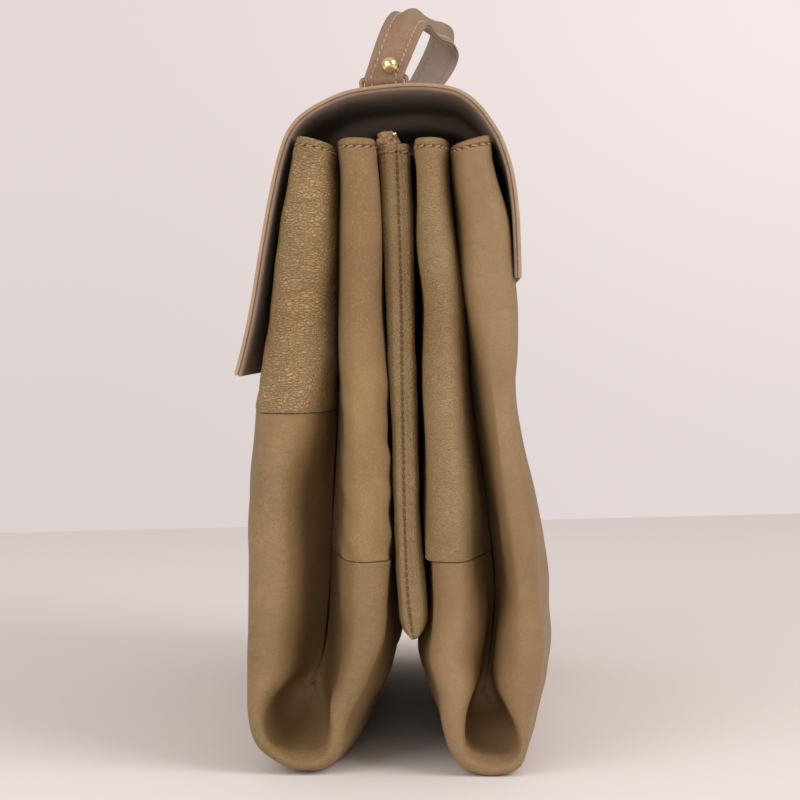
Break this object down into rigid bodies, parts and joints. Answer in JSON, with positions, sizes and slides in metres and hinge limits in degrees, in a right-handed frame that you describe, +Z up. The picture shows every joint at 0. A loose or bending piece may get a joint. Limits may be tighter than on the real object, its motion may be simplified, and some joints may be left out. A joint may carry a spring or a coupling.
{
  "type": "handbag",
  "caption": "Soft leather handbag with accordion pouches and a zip pouch between them, a flap that arches over them and a short top handle.",
  "frame": {"origin": "centre of the bag's footprint, on the surface it stands on", "axes": "+X along the bag towards the end that the picture shows, +Y towards the back with the short end of the flap, +Z up; the long end of the flap faces -Y"},
  "size_m": [0.3298, 0.137, 0.3514],
  "materials": {
    "pebbled_leather": "satin",
    "suede_leather": "matte",
    "smooth_leather": "satin",
    "flap_leather": "satin",
    "suede_lining": "matte",
    "zip_tape": "matte",
    "gold_metal": "polished",
    "antique_metal": "brushed"
  },
  "bodies": {
    "root": {"front_pouch_front_panel": "pebbled_leather", "front_pouch_base": "smooth_leather", "front_pouch_inner_panel": "suede_leather", "back_pouch_inner_panel": "pebbled_leather", "back_pouch_body": "smooth_leather", "zip_pouch_front_panel": "pebbled_leather", "zip_pouch_back_panel": "pebbled_leather", "zip_tape": "zip_tape", "zip_teeth": "gold_metal", "zip_slider": "gold_metal", "flap_leather": "flap_leather", "flap_lining": "suede_lining", "flap_snap": "gold_metal", "handle_strap": "flap_leather", "handle_ring_a": "antique_metal", "handle_ring_b": "antique_metal", "ring_tab_a": "flap_leather", "ring_tab_b": "flap_leather", "ball_stud_a": "gold_metal", "ball_stud_b": "gold_metal"}
  },
  "joints": []
}
